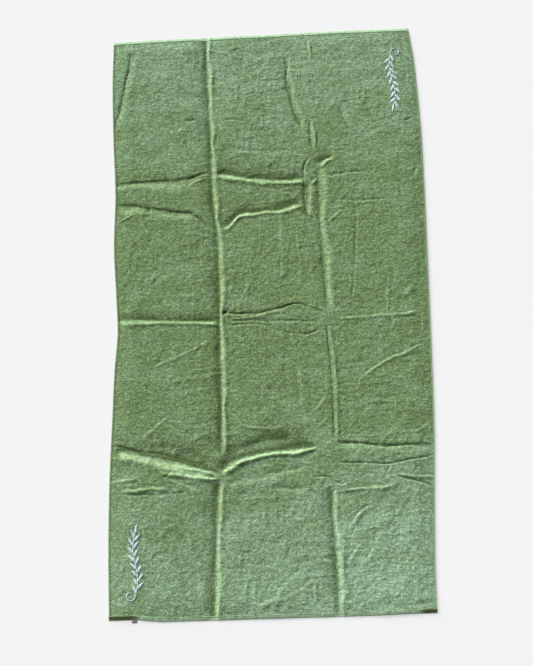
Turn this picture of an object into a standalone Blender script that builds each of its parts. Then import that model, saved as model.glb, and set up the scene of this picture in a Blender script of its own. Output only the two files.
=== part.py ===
"""Quick-dry terry bath towel, laid flat.

The cloth lies in three thirds. The left third folds over the middle one and the right
third folds over both, as the towel is put away. Hems, overlocked edges, threads, two
embroidered sprigs and the care label are separate pieces.

Metres, +Z up, +Y along the towel's length. The origin is under the middle of the cloth.
"""

import math

import bmesh
import bpy
from mathutils import Matrix, Vector

# ---------------------------------------------------------------- driving dimensions

TOWEL_WIDTH = 0.700  # edge to edge across the towel
TOWEL_LENGTH = 1.400  # outer edge of one hem to outer edge of the other
THIRDS = 3  # equal panels across the width
CLEARANCE = 0.0003  # between two pieces that touch
FOLD_GAP = 0.0005  # between two panels at a fold line

TERRY_THICKNESS = 0.0040  # pile, ground weave and pile
HEM_DEPTH = 0.0100  # width of the turned and sewn end
HEM_THICKNESS = 0.0050  # three layers of flattened cloth

SELVEDGE_WIDTH = 0.0045  # pile-free edge, under the overlock thread
SELVEDGE_THICKNESS = 0.0022
OVERLOCK_THREAD = 0.0005  # thickness of the thread that wraps the edge
OVERLOCK_REACH = 0.0035  # how far the wrap reaches in from the edge

SEWING_THREAD_RADIUS = 0.0003
HEM_SEAM_INSET = 0.0018  # from the hem's inner side to its row of stitches

LABEL_WIDTH = 0.0115
LABEL_LENGTH = 0.0062  # how far the folded tape stands out of the hem
LABEL_TAPE = 0.0004  # thickness of one layer of tape
LABEL_LOOP = 0.0003  # space between its two layers
LABEL_FROM_EDGE = 0.046  # its middle, from the towel's left edge
LABEL_TACK_WIDTH = 0.0080  # row of stitches that holds the label in the hem

SPRIG_LENGTH = 0.146  # stem of the embroidered sprig, without its curl
SPRIG_SWAY = 0.0055  # how far the stem swings to each side
SPRIG_STEM_WIDTH = 0.0022
SPRIG_STEM_THICKNESS = 0.0006
SPRIG_CURL_RADIUS = 0.0105
LEAF_COUNT = 16
FIRST_LEAF = 0.07  # place of the first leaf, as a share of the stem
LAST_LEAF = 0.97
LEAF_LENGTH = 0.0195
LEAF_WIDTH = 0.0068
LEAF_THICKNESS = 0.0009
LEAF_ANGLE = math.radians(38)  # between a leaf and the stem
SPRIG_FROM_SIDE = 0.0475  # middle of the stem, from the towel's side
SPRIG_FROM_END = {"top": 0.135, "bottom": 0.121}  # middle of the stem, from the towel's end

FIRST_FOLD_HEIGHT = 0.0105  # axis of the left third's fold, above the floor
SECOND_FOLD_HEIGHT = 0.0165  # axis of the right third's fold, which clears the left third

# ---------------------------------------------------------------- derived places

HALF_WIDTH = TOWEL_WIDTH / 2
HALF_LENGTH = TOWEL_LENGTH / 2
FOLD_X = TOWEL_WIDTH / THIRDS / 2
INNER_Y = HALF_LENGTH - HEM_DEPTH - CLEARANCE
SELVEDGE_BOTTOM = OVERLOCK_THREAD + CLEARANCE
SELVEDGE_TOP = SELVEDGE_BOTTOM + SELVEDGE_THICKNESS
OVERLOCK_TOP = SELVEDGE_TOP + CLEARANCE + OVERLOCK_THREAD
LABEL_THICKNESS = 2 * LABEL_TAPE + LABEL_LOOP
LABEL_X = -HALF_WIDTH + LABEL_FROM_EDGE

PANELS = {
    "left": (-HALF_WIDTH, -FOLD_X - FOLD_GAP / 2),
    "centre": (-FOLD_X + FOLD_GAP / 2, FOLD_X - FOLD_GAP / 2),
    "right": (FOLD_X + FOLD_GAP / 2, HALF_WIDTH),
}


# ---------------------------------------------------------------- helpers


def clear_scene():
    for obj in list(bpy.data.objects):
        bpy.data.objects.remove(obj)


def new_collection(name):
    collection = bpy.data.collections.new(name)
    bpy.context.scene.collection.children.link(collection)
    return collection


def new_material(name, colour, roughness):
    material = bpy.data.materials.new(name)
    material.use_nodes = True
    shader = material.node_tree.nodes["Principled BSDF"]
    shader.inputs["Base Color"].default_value = (*colour, 1.0)
    shader.inputs["Roughness"].default_value = roughness
    shader.inputs["Metallic"].default_value = 0.0
    return material


def new_pivot(name, place):
    """An empty on a joint's axis, which carries the pieces that turn about it."""
    pivot = bpy.data.objects.new(name, None)
    pivot.empty_display_size = 0.02
    pivot.location = place
    towel.objects.link(pivot)
    return pivot


def hang_on(pivot, obj):
    """Parents obj to a pivot without moving it."""
    obj.parent = pivot
    obj.matrix_parent_inverse = Matrix.Translation(-pivot.location)


def add(name, data, material, body, place=(0, 0, 0), turn=(0, 0, 0)):
    """Puts a mesh or curve in the scene as one named piece of a body."""
    data.materials.append(material)
    obj = bpy.data.objects.new(name, data)
    obj.location = place
    obj.rotation_euler = turn
    towel.objects.link(obj)
    if body in pivots:
        hang_on(pivots[body], obj)
    return obj


def add_slab(name, low, high, material, body):
    """A rectangular block between two corners."""
    low, high = Vector(low), Vector(high)
    mesh = bpy.data.meshes.new(name)
    bm = bmesh.new()
    bmesh.ops.create_cube(bm, size=1.0)
    bmesh.ops.scale(bm, vec=high - low, verts=bm.verts)
    bm.to_mesh(mesh)
    bm.free()
    return add(name, mesh, material, body, place=(low + high) / 2)


def flat_curve(name, outline, half_thickness):
    """A closed outline in the curve's own XY plane, filled and thickened along its Z."""
    curve = bpy.data.curves.new(name, "CURVE")
    curve.dimensions = "2D"
    curve.fill_mode = "BOTH"
    curve.extrude = half_thickness
    spline = curve.splines.new("POLY")
    spline.points.add(len(outline) - 1)
    for point, (x, y) in zip(spline.points, outline):
        point.co = (x, y, 0.0, 1.0)
    spline.use_cyclic_u = True
    return curve


def arc(centre, radius, start, end, steps):
    """Points on an arc of a circle, angles in degrees."""
    angles = [math.radians(start + (end - start) * i / steps) for i in range(steps + 1)]
    return [(centre[0] + radius * math.cos(a), centre[1] + radius * math.sin(a)) for a in angles]


def add_thread(name, start, end, material, body):
    """A straight run of sewing thread between two points."""
    start, end = Vector(start), Vector(end)
    curve = bpy.data.curves.new(name, "CURVE")
    curve.dimensions = "3D"
    curve.bevel_depth = SEWING_THREAD_RADIUS
    curve.bevel_resolution = 2
    curve.use_fill_caps = True
    middle = (start + end) / 2
    spline = curve.splines.new("POLY")
    spline.points.add(1)
    for point, place in zip(spline.points, (start, end)):
        point.co = (*(place - middle), 1.0)
    return add(name, curve, material, body, place=middle)


# ---------------------------------------------------------------- cloth


def make_terry(panel):
    """One third of the cloth, between the hems and inside the overlocked edge."""
    low, high = PANELS[panel]
    if panel == "left":
        low += SELVEDGE_WIDTH + CLEARANCE
    if panel == "right":
        high -= SELVEDGE_WIDTH + CLEARANCE
    add_slab(
        "terry_" + panel, (low, -INNER_Y, 0.0), (high, INNER_Y, TERRY_THICKNESS), terry, panel
    )


def make_hem(end, panel):
    """The cloth's end turned over and sewn down: square inside, rolled round outside."""
    low, high = PANELS[panel]
    side = 1 if end == "top" else -1
    radius = HEM_THICKNESS / 2
    roll = arc((HALF_LENGTH - radius, radius), radius, -90, 90, 8)
    outline = [(HALF_LENGTH - HEM_DEPTH, 0.0), *roll, (HALF_LENGTH - HEM_DEPTH, HEM_THICKNESS)]
    outline = [(side * y, z) for y, z in outline][::side]
    curve = flat_curve(f"hem_{end}_{panel}", outline, (high - low) / 2)
    across = (math.pi / 2, 0, math.pi / 2)
    add(curve.name, curve, hem_cloth, panel, place=((low + high) / 2, 0, 0), turn=across)


def make_hem_seam(end, panel):
    """The row of lockstitch along the inner side of a hem."""
    low, high = PANELS[panel]
    side = 1 if end == "top" else -1
    y = side * (HALF_LENGTH - HEM_DEPTH + HEM_SEAM_INSET)
    z = HEM_THICKNESS + CLEARANCE + SEWING_THREAD_RADIUS
    start, finish = (low + CLEARANCE, y, z), (high - CLEARANCE, y, z)
    add_thread(f"hem_seam_{end}_{panel}", start, finish, sewing_thread, panel)


def make_edge(panel):
    """The pile-free selvedge and the overlock thread that wraps it."""
    side = -1 if panel == "left" else 1
    outer = HALF_WIDTH - OVERLOCK_THREAD - CLEARANCE
    inner = HALF_WIDTH - SELVEDGE_WIDTH
    low, high = sorted((side * outer, side * inner))
    corners = (low, -INNER_Y, SELVEDGE_BOTTOM), (high, INNER_Y, SELVEDGE_TOP)
    add_slab("selvedge_" + panel, *corners, selvedge_cloth, panel)
    wrap = [
        (HALF_WIDTH - OVERLOCK_REACH, 0.0),
        (HALF_WIDTH, 0.0),
        (HALF_WIDTH, OVERLOCK_TOP),
        (HALF_WIDTH - OVERLOCK_REACH, OVERLOCK_TOP),
        (HALF_WIDTH - OVERLOCK_REACH, OVERLOCK_TOP - OVERLOCK_THREAD),
        (HALF_WIDTH - OVERLOCK_THREAD, OVERLOCK_TOP - OVERLOCK_THREAD),
        (HALF_WIDTH - OVERLOCK_THREAD, OVERLOCK_THREAD),
        (HALF_WIDTH - OVERLOCK_REACH, OVERLOCK_THREAD),
    ]
    wrap = [(side * x, z) for x, z in wrap][::side]
    curve = flat_curve("overlock_" + panel, wrap, INNER_Y)
    add(curve.name, curve, overlock_thread, panel, turn=(math.pi / 2, 0, 0))


# ---------------------------------------------------------------- care label


def make_label():
    """A tape folded in two, whose ends are sewn into the bottom hem."""
    root = -HALF_LENGTH - CLEARANCE
    bend = LABEL_THICKNESS / 2
    tip = root - LABEL_LENGTH + bend
    outer = arc((tip, bend), bend, 270, 90, 8)
    inner = arc((tip, bend), LABEL_LOOP / 2, 90, 270, 6)
    outline = [
        (root, 0.0),
        *outer,
        (root, LABEL_THICKNESS),
        (root, LABEL_THICKNESS - LABEL_TAPE),
        *inner,
        (root, LABEL_TAPE),
    ]
    curve = flat_curve("care_label", outline[::-1], LABEL_WIDTH / 2)
    across = (math.pi / 2, 0, math.pi / 2)
    add(curve.name, curve, label_tape, "label", place=(LABEL_X, 0, 0), turn=across)
    y = -HALF_LENGTH + HEM_THICKNESS / 2
    z = HEM_THICKNESS + CLEARANCE + SEWING_THREAD_RADIUS
    start = (LABEL_X - LABEL_TACK_WIDTH / 2, y, z)
    finish = (LABEL_X + LABEL_TACK_WIDTH / 2, y, z)
    add_thread("label_tack", start, finish, sewing_thread, "left")


# ---------------------------------------------------------------- embroidery


def stem_point(share):
    """A point on the sprig's stem, with share from 0 at its curl to 1 at its tip."""
    y = (share - 0.5) * SPRIG_LENGTH
    return Vector((SPRIG_SWAY * math.sin(2 * math.pi * share), y))


def stem_direction(share):
    step = 0.01
    return (stem_point(share + step) - stem_point(share - step)).normalized()


def stem_path():
    """The stem's middle line: an opening curl, then the swaying stem."""
    start = stem_point(0.0)
    heading = math.atan2(*stem_direction(0.0).yx)
    path = []
    curl_steps = 18
    for i in range(curl_steps):
        turn = 1.5 * math.pi * (1 - i / curl_steps)
        radius = SPRIG_CURL_RADIUS * (1 - 0.32 * turn / (1.5 * math.pi))
        angle = heading - math.pi / 2 - turn
        middle = start + Vector((-math.sin(heading), math.cos(heading))) * SPRIG_CURL_RADIUS
        path.append(middle + radius * Vector((math.cos(angle), math.sin(angle))))
    stem_steps = 28
    return path + [stem_point(i / stem_steps) for i in range(stem_steps + 1)]


def ribbon(path, width):
    """The outline of a band of one width along a path, narrowing to its two ends."""
    left, right = [], []
    for i, place in enumerate(path):
        ahead = path[min(i + 1, len(path) - 1)] - path[max(i - 1, 0)]
        side = Vector((-ahead.y, ahead.x)).normalized() * width / 2
        side *= 0.45 if i in (0, len(path) - 1) else 1.0
        left.append(place + side)
        right.append(place - side)
    return right + left[::-1]


def leaf_outline(share, side):
    """A pointed leaf that grows out of the stem."""
    root = stem_point(share)
    angle = math.atan2(*stem_direction(share).yx) + side * LEAF_ANGLE
    along = Vector((math.cos(angle), math.sin(angle)))
    across = Vector((-along.y, along.x))
    steps = 8
    rise = [LEAF_WIDTH / 2 * math.sin(math.pi * (i / steps) ** 0.8) for i in range(1, steps)]
    right = [along * LEAF_LENGTH * i / steps - across * r for i, r in enumerate(rise, 1)]
    left = [along * LEAF_LENGTH * i / steps + across * r for i, r in enumerate(rise, 1)]
    outline = [Vector((0, 0)), *right, along * LEAF_LENGTH, *left[::-1]]
    return [root + point for point in outline]


def mesh_of_curve(name, curve):
    """The curve's solid as a mesh, with its loose caps joined to its sides."""
    helper = bpy.data.objects.new(name, curve)
    bpy.context.scene.collection.objects.link(helper)
    graph = bpy.context.evaluated_depsgraph_get()
    mesh = bpy.data.meshes.new_from_object(helper.evaluated_get(graph))
    bpy.data.objects.remove(helper)
    bm = bmesh.new()
    bm.from_mesh(mesh)
    bmesh.ops.remove_doubles(bm, verts=bm.verts, dist=0.00001)
    bmesh.ops.recalc_face_normals(bm, faces=bm.faces)
    bm.to_mesh(mesh)
    bm.free()
    mesh.name = name
    return mesh


def make_sprig(name, body, place, turn):
    """A stem with leaves on alternate sides, embroidered on top of the pile."""
    middle_z = TERRY_THICKNESS + CLEARANCE + LEAF_THICKNESS / 2
    place = Vector((*place, middle_z))
    leaves = bpy.data.collections.new(name + "_leaves")
    cutters.children.link(leaves)
    for i in range(LEAF_COUNT):
        share = FIRST_LEAF + (LAST_LEAF - FIRST_LEAF) * i / (LEAF_COUNT - 1)
        side = 0 if i == LEAF_COUNT - 1 else (-1) ** i
        leaf_name = f"{name}_leaf_{i + 1}"
        curve = flat_curve(leaf_name, leaf_outline(share, side), LEAF_THICKNESS / 2)
        leaf = bpy.data.objects.new(leaf_name, mesh_of_curve(leaf_name, curve))
        leaf.location = place
        leaf.rotation_euler = (0, 0, turn)
        leaf.hide_render = True
        leaf.display_type = "WIRE"
        leaves.objects.link(leaf)
    curve = flat_curve(name, ribbon(stem_path(), SPRIG_STEM_WIDTH), SPRIG_STEM_THICKNESS / 2)
    stem = add(name, mesh_of_curve(name, curve), embroidery_thread, body, place, (0, 0, turn))
    join = stem.modifiers.new("join_leaves", "BOOLEAN")
    join.operation = "UNION"
    join.operand_type = "COLLECTION"
    join.collection = leaves
    join.solver = "EXACT"
    return stem


# ---------------------------------------------------------------- the towel

clear_scene()
towel = new_collection("quick_dry_towel")
cutters = new_collection("cutters")

terry = new_material("terry_pile", (0.155, 0.262, 0.125), 0.95)
hem_cloth = new_material("hem_weave", (0.190, 0.310, 0.165), 0.88)
selvedge_cloth = new_material("selvedge_weave", (0.145, 0.250, 0.115), 0.90)
overlock_thread = new_material("overlock_thread", (0.300, 0.440, 0.260), 0.70)
sewing_thread = new_material("sewing_thread", (0.230, 0.360, 0.190), 0.65)
embroidery_thread = new_material("embroidery_thread", (0.640, 0.730, 0.760), 0.45)
label_tape = new_material("label_tape", (0.300, 0.285, 0.330), 0.60)

pivots = {
    "left": new_pivot("left_fold_axis", Vector((-FOLD_X, 0, FIRST_FOLD_HEIGHT))),
    "right": new_pivot("right_fold_axis", Vector((FOLD_X, 0, SECOND_FOLD_HEIGHT))),
    "label": new_pivot(
        "label_axis", Vector((LABEL_X, -HALF_LENGTH - CLEARANCE, LABEL_THICKNESS))
    ),
}

for panel_name in PANELS:
    make_terry(panel_name)
    for end_name in ("top", "bottom"):
        make_hem(end_name, panel_name)
        make_hem_seam(end_name, panel_name)
for panel_name in ("left", "right"):
    make_edge(panel_name)
make_label()
sprig_x = HALF_WIDTH - SPRIG_FROM_SIDE
upper_y = HALF_LENGTH - SPRIG_FROM_END["top"]
lower_y = -HALF_LENGTH + SPRIG_FROM_END["bottom"]
make_sprig("embroidery_upper", "right", (sprig_x, upper_y), math.pi)
make_sprig("embroidery_lower", "left", (-sprig_x, lower_y), 0.0)

# The label turns with the left third as well as on its own seam.
pivots["label"].parent = pivots["left"]
pivots["label"].matrix_parent_inverse = Matrix.Translation(-pivots["left"].location)
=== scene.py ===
# %% [markdown]
# # A quick-dry terry towel, laid flat
# The towel is one light cotton cloth, 0.70 by 1.40 m, with its two ends turned over and
# sewn, its two sides overlocked, a pale sprig embroidered in two corners and a small
# care label in one hem. It was kept folded, so it lies in soft thirds with many creases.
# This script dresses the plain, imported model: every piece below takes its place from it.

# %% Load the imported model
import math

import bmesh
import bpy
import numpy as np
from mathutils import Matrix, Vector


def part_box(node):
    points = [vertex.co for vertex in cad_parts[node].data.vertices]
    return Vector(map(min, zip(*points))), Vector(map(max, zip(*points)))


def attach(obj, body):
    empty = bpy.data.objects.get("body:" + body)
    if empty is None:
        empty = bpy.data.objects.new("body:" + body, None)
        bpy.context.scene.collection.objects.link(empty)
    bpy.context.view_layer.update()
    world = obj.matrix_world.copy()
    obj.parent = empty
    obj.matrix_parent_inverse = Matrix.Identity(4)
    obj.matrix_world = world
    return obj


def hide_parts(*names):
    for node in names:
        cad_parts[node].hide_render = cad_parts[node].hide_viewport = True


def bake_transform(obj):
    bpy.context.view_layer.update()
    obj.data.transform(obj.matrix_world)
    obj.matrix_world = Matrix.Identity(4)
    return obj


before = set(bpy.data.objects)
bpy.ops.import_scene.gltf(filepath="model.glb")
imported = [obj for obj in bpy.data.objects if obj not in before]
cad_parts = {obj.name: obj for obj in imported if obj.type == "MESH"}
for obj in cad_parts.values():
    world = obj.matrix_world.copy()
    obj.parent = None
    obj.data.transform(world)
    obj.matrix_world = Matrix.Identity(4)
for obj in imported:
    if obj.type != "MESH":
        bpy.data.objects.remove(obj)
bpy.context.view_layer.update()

# %% [markdown]
# ## Sizes
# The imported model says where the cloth, its folds, its hems and its edges are. Only what
# that model leaves out is a number here: how the towel came to lie, and how its pile,
# threads and stitches are made. Lengths in the lists below are in millimetres, because
# that is how a sewer would say them.

# %% Sizes from the model, and the sizes of yarn and stitches
MM = 0.001
FOLD_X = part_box("terry_right")[0].x
HALF_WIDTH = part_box("overlock_right")[1].x
HALF_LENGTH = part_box("hem_top_centre")[1].y
HEM_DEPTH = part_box("hem_top_centre")[1].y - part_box("hem_top_centre")[0].y
HEM_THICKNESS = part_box("hem_top_centre")[1].z
CLOTH_THICKNESS = 0.0034  # under the hand, a little less than the solid's 4 mm
GRID = 0.0021  # spacing of the points on the cloth's upper side

print("half width, half length, fold:", HALF_WIDTH, HALF_LENGTH, round(FOLD_X, 4))

# %% [markdown]
# ## How the cloth lies
# A towel that is dropped on a table is never a true rectangle: here its sides bow to
# the right in the middle. A cloth simulation would settle into some such shape, but not
# into this one, and it rounds off old creases, so the lie of the cloth is given directly:
# two side lines as smooth curves through a few listed points, and everything else is placed
# between them.

# %% The two side lines
LEFT_SIDE = (
    (-700, -360), (-550, -363), (-383, -362), (-242, -357), (-131, -353), (-46, -347),
    (48, -351), (161, -357), (298, -355), (443, -361), (604, -364), (700, -362),
)
RIGHT_SIDE = (
    (-700, 345), (-594, 346), (-474, 351), (-300, 359), (-121, 362), (124, 364),
    (302, 365), (433, 364), (534, 360), (628, 354), (700, 345),
)
LOWER_SAG = 6.5 * MM  # how far the lower end bows outwards, right of the label
print("side lines through", len(LEFT_SIDE), "and", len(RIGHT_SIDE), "points")


# %% Smooth curves, and where a point of the flat cloth lies
def smooth_step(t):
    """0 below 0, 1 above 1 and smooth between."""
    t = np.clip(t, 0.0, 1.0)
    return t * t * (3.0 - 2.0 * t)


def smooth_through(points, at):
    """A smooth curve through (place, value) points, read at many places at once."""
    place, value = np.array(points, float).T
    slope = np.gradient(value, place)
    i = np.clip(np.searchsorted(place, at) - 1, 0, len(place) - 2)
    step = place[i + 1] - place[i]
    t = np.clip((at - place[i]) / step, 0.0, 1.0)
    from_left = value[i] * (1 + 2 * t) * (1 - t) ** 2 + slope[i] * step * t * (1 - t) ** 2
    from_right = value[i + 1] * (3 - 2 * t) * t**2 - slope[i + 1] * step * (1 - t) * t**2
    return from_left + from_right


def lay(across, along):
    """Where a point of the flat cloth, in metres from its middle, lies on the table."""
    left = smooth_through(LEFT_SIDE, along / MM) * MM
    right = smooth_through(RIGHT_SIDE, along / MM) * MM
    share = (across + HALF_WIDTH) / (2 * HALF_WIDTH)
    # The sag begins 0.30 m left of the middle and 0.45 m below it, and is less at the right.
    sag = LOWER_SAG * smooth_step((across + 0.30) / 0.07) * smooth_step((-along - 0.45) / 0.25)
    sag = sag * (1 - 0.3 * smooth_step((across - 0.15) / 0.20))
    return left + (right - left) * share, along - sag


# %% [markdown]
# ## Creases
# Folding for storage left several kinds of mark. A *fold* or *hollow* runs the length of
# the cloth: it dips gently on one side and rises sharply on the other. A *roll* or a
# *slope* is the same mark made deeper where the thirds were folded again crosswise, with
# a standing crest. A *band*, *soft* or *valley* is broad and low, a *groove* or *line* is
# narrow and dark, and a *ridge* or *ripple* stands up. Each is drawn as a line on the
# cloth, and a profile across the line gives its dip and crest.

# %% The profile of each kind of crease
# In millimetres: dip, crest, wide side, steep side and fall of the crest, how strong the
# painted highlight on its lit side is, and how far the cloth round the crease sinks with it.
PROFILES = {
    "fold": (3.1, 1.4, 14.0, 10.0, 5.0, 0.45, 1.7),
    "hollow": (3.6, 1.4, 18.0, 13.0, 6.0, 0.42, 1.8),
    "band": (1.6, 1.2, 9.0, 17.0, 9.0, 0.40, 0.8),
    "roll": (3.9, 2.5, 16.0, 11.0, 4.0, 0.85, 1.2),
    "slope": (4.6, 1.6, 12.0, 24.0, 8.0, 0.80, 0.8),
    "valley": (2.6, 0.0, 26.0, 30.0, 10.0, 0.0, 0.0),
    "soft": (1.7, 0.7, 13.0, 11.0, 10.0, 0.10, 0.0),
    "ripple": (0.6, 1.3, 10.0, 8.0, 8.0, 0.20, 0.0),
    "line": (2.6, 0.5, 3.6, 4.5, 5.0, 0.10, 0.0),
    "groove": (2.7, 0.5, 3.4, 22.0, 14.0, 0.26, 0.5),
    "ridge": (0.5, 1.9, 4.5, 5.0, 3.6, 0.50, 0.0),
}
print(len(PROFILES), "kinds of crease")

# %% The creases, as (kind, strength, points in millimetres)
CREASES = (
    # the two folds that run the whole length
    ("fold", 1.15, (-138, 720), (-138, 639), (-135, 546), (-130, 400), (-127, 285), (-117, 180),
     (-114, 66), (-114, -84), (-112, -249), (-114, -345)),
    ("hollow", 1.15, (-117, -396), (-123, -441), (-126, -531), (-130, -618), (-132, -716)),
    ("ridge", 1.2, (102, 684), (105, 651), (108, 618)),
    ("line", 1.0, (57, 621), (51, 588), (60, 528), (75, 474), (90, 444)),
    ("fold", 0.5, (51, 642), (57, 573), (72, 495), (87, 447)),
    ("line", 0.9, (102, 477), (105, 429), (108, 384)),
    ("ridge", 0.9, (106, 471), (109, 429), (112, 384)),
    ("line", 1.3, (102, 378), (90, 354), (87, 303), (87, 264), (93, 228)),
    ("fold", 0.7, (93, 318), (93, 264), (93, 219)),
    ("band", 1.2, (117, 348), (120, 282), (120, 222), (123, 162), (126, 99), (129, 39), (132, -15)),
    ("line", 0.9, (129, -39), (132, -93), (135, -141), (138, -222), (138, -315)),
    ("ridge", 0.7, (133, -45), (136, -93), (139, -141), (142, -222), (142, -315)),
    ("hollow", 1.0, (129, -420), (129, -474), (132, -528), (135, -606), (136, -717)),
    # the upper right
    ("roll", 0.8, (117, 351), (135, 366), (162, 372)),
    ("line", 0.9, (135, 321), (195, 330), (240, 330)),
    ("ridge", 1.0, (99, 303), (108, 312), (117, 321)),
    ("ridge", 1.0, (132, 207), (153, 225), (174, 240)),
    ("line", 0.6, (147, 264), (207, 258), (288, 258)),
    ("line", 0.5, (201, 273), (204, 219), (201, 159), (195, 78), (186, 6)),
    ("line", 1.0, (72, 237), (93, 225), (114, 213)),
    ("soft", 0.7, (171, 510), (186, 468), (201, 420)),
    ("ripple", 0.7, (222, 420), (243, 390), (261, 360)),
    ("ripple", 0.9, (330, 303), (342, 321), (351, 339)),
    ("line", 0.5, (309, 303), (309, 279), (312, 258)),
    ("ridge", 0.5, (207, 663), (207, 642), (210, 618)),
    ("ripple", 1.0, (324, 672), (333, 648), (342, 624)),
    ("ripple", 0.9, (330, 582), (336, 546), (342, 513)),
    ("line", 0.8, (321, 453), (333, 459), (345, 462)),
    # the upper left
    ("soft", 0.8, (-314, 675), (-322, 620), (-332, 575), (-342, 520), (-362, 452)),
    ("line", 0.9, (-318, 672), (-326, 618), (-335, 572), (-345, 518), (-364, 455)),
    ("line", 0.8, (-195, 480), (-177, 480), (-159, 480)),
    ("line", 0.5, (-114, 474), (-75, 477), (-36, 465)),
    # the upper crosswise fold
    ("groove", 1.2, (-366, 326), (-310, 327), (-268, 328), (-179, 330), (-160, 336)),
    ("line", 1.2, (-190, 328), (-155, 338), (-130, 346)),
    ("ridge", 0.6, (-191, 309), (-167, 326), (-148, 335)),
    ("groove", 1.3, (-357, 272), (-312, 268), (-275, 259), (-235, 251), (-160, 242)),
    ("line", 1.3, (-185, 246), (-156, 224), (-126, 193)),
    ("ridge", 1.2, (-357, 226), (-333, 238), (-308, 250)),
    ("line", 1.0, (-276, 264), (-276, 258), (-273, 246)),
    ("roll", 1.35, (-122, 343), (-78, 335), (-25, 324), (47, 318), (92, 319)),
    ("roll", 1.0, (-112, 200), (-86, 216), (-67, 236), (-26, 239), (20, 244), (88, 262)),
    ("soft", 0.6, (-105, 411), (-15, 393), (72, 393)),
    # the middle crosswise fold
    ("roll", 0.8, (-358, -9), (-246, -18), (-108, -25)),
    ("line", 1.4, (-108, -15), (-102, -6), (-90, 3)),
    ("line", 1.2, (-111, -6), (-66, -9), (-18, -9), (30, 3), (60, 9), (93, 0), (129, -18)),
    ("ridge", 0.8, (-102, -18), (-45, -18), (3, -6), (48, 0)),
    ("line", 0.7, (-102, -24), (-9, -30), (69, -33), (120, -36)),
    ("line", 0.7, (-102, -36), (-6, -42), (27, -57), (60, -63), (93, -63), (117, -51)),
    ("line", 0.5, (-102, -78), (-57, -84), (-24, -108), (9, -129), (48, -147)),
    ("ridge", 0.8, (147, -27), (249, -24), (342, -18)),
    ("ridge", 0.5, (339, -21), (342, -51), (339, -78)),
    ("ridge", 0.5, (267, 39), (264, 0), (261, -36)),
    ("ridge", 0.6, (-159, 63), (-147, 51), (-132, 39)),
    ("ripple", 0.8, (297, 18), (312, 36), (327, 54)),
    # between the middle and the lower one
    ("ridge", 0.8, (198, -171), (246, -138), (291, -117), (351, -93)),
    ("ridge", 0.6, (-273, -132), (-216, -105), (-174, -87), (-132, -60)),
    ("ridge", 0.9, (-102, -240), (-81, -246), (-60, -270), (-21, -279), (33, -276)),
    ("ripple", 0.7, (57, -126), (63, -192), (63, -255)),
    ("ripple", 0.8, (22, 235), (26, 160), (22, 60)),
    ("ripple", 0.6, (62, 200), (66, 120), (60, 40)),
    ("ripple", 0.7, (-225, 40), (-180, 46), (-150, 44)),
    ("ripple", 0.6, (-250, 470), (-215, 462), (-180, 464)),
    ("ridge", 0.7, (90, -249), (105, -228), (120, -204)),
    ("ridge", 0.6, (96, -279), (111, -270), (126, -261)),
    ("ridge", 0.9, (306, -303), (327, -294), (351, -279)),
    ("ripple", 0.9, (-297, -309), (-285, -285), (-255, -264), (-231, -237)),
    ("ripple", 0.7, (-200, -317), (-166, -290), (-136, -281)),
    # the lower crosswise fold
    ("slope", 1.2, (-350, -318), (-327, -322), (-291, -332), (-240, -344), (-192, -358), (-135, -380)),
    ("valley", 0.8, (-310, -316), (-240, -320), (-176, -338), (-128, -358)),
    ("roll", 1.3, (-222, -346), (-177, -360), (-150, -370), (-114, -385)),
    ("ridge", 1.7, (-252, -370), (-222, -377), (-192, -381), (-159, -386), (-112, -390)),
    ("line", 1.0, (-242, -393), (-231, -382), (-222, -373)),
    ("roll", 1.5, (-120, -384), (-108, -369), (-84, -354), (-45, -342), (12, -333), (104, -326)),
    ("valley", 1.2, (-116, -350), (-72, -328), (-21, -312), (52, -306)),
    ("soft", 0.8, (-105, -405), (-51, -396), (15, -384), (78, -372)),
    ("ridge", 1.1, (-366, -390), (-326, -387), (-289, -380)),
    ("ridge", 1.1, (-342, -412), (-282, -408), (-228, -411)),
    ("line", 0.7, (-325, -424), (-249, -425), (-183, -421)),
    ("ridge", 0.9, (-235, -384), (-195, -403), (-149, -421)),
    ("line", 0.8, (138, -321), (204, -327), (252, -333), (291, -333), (362, -336)),
    ("groove", 0.7, (138, -318), (204, -324), (252, -330), (291, -330), (362, -333)),
    ("line", 1.0, (138, -363), (180, -369), (258, -372), (303, -366), (360, -356)),
    ("ridge", 1.2, (255, -393), (300, -399), (358, -402)),
    ("line", 1.1, (255, -396), (303, -411), (355, -427)),
    ("line", 0.9, (249, -393), (252, -387), (258, -378)),
    ("line", 1.3, (87, -396), (120, -399), (132, -405)),
    ("line", 1.2, (129, -405), (144, -411), (159, -417)),
    ("ridge", 1.3, (147, -427), (201, -423), (272, -420)),
    ("soft", 1.0, (-8, -417), (36, -420), (80, -423)),
    # the lower end
    ("ripple", 0.8, (-72, -438), (-18, -435), (42, -438)),
    ("ripple", 1.2, (159, -510), (183, -483), (213, -458)),
    ("ripple", 1.1, (150, -596), (168, -570), (183, -544)),
    ("ripple", 1.3, (189, -596), (210, -561), (226, -516)),
    ("ripple", 0.9, (-40, -676), (-2, -655), (30, -618), (64, -598)),
    ("ripple", 0.6, (-10, -668), (46, -646), (86, -614)),
    ("ripple", 0.8, (81, -621), (81, -648), (84, -675)),
    ("ripple", 0.8, (201, -681), (267, -687), (339, -681)),
    ("ripple", 0.7, (-357, -470), (-320, -515)),
    # the sharp dark foot of the lower left fold
    ("line", 1.8, (-358, -310), (-334, -314), (-305, -323), (-271, -331), (-238, -335), (-204, -345),
     (-171, -355), (-136, -368)),
)
print(len(CREASES), "creases")


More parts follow.
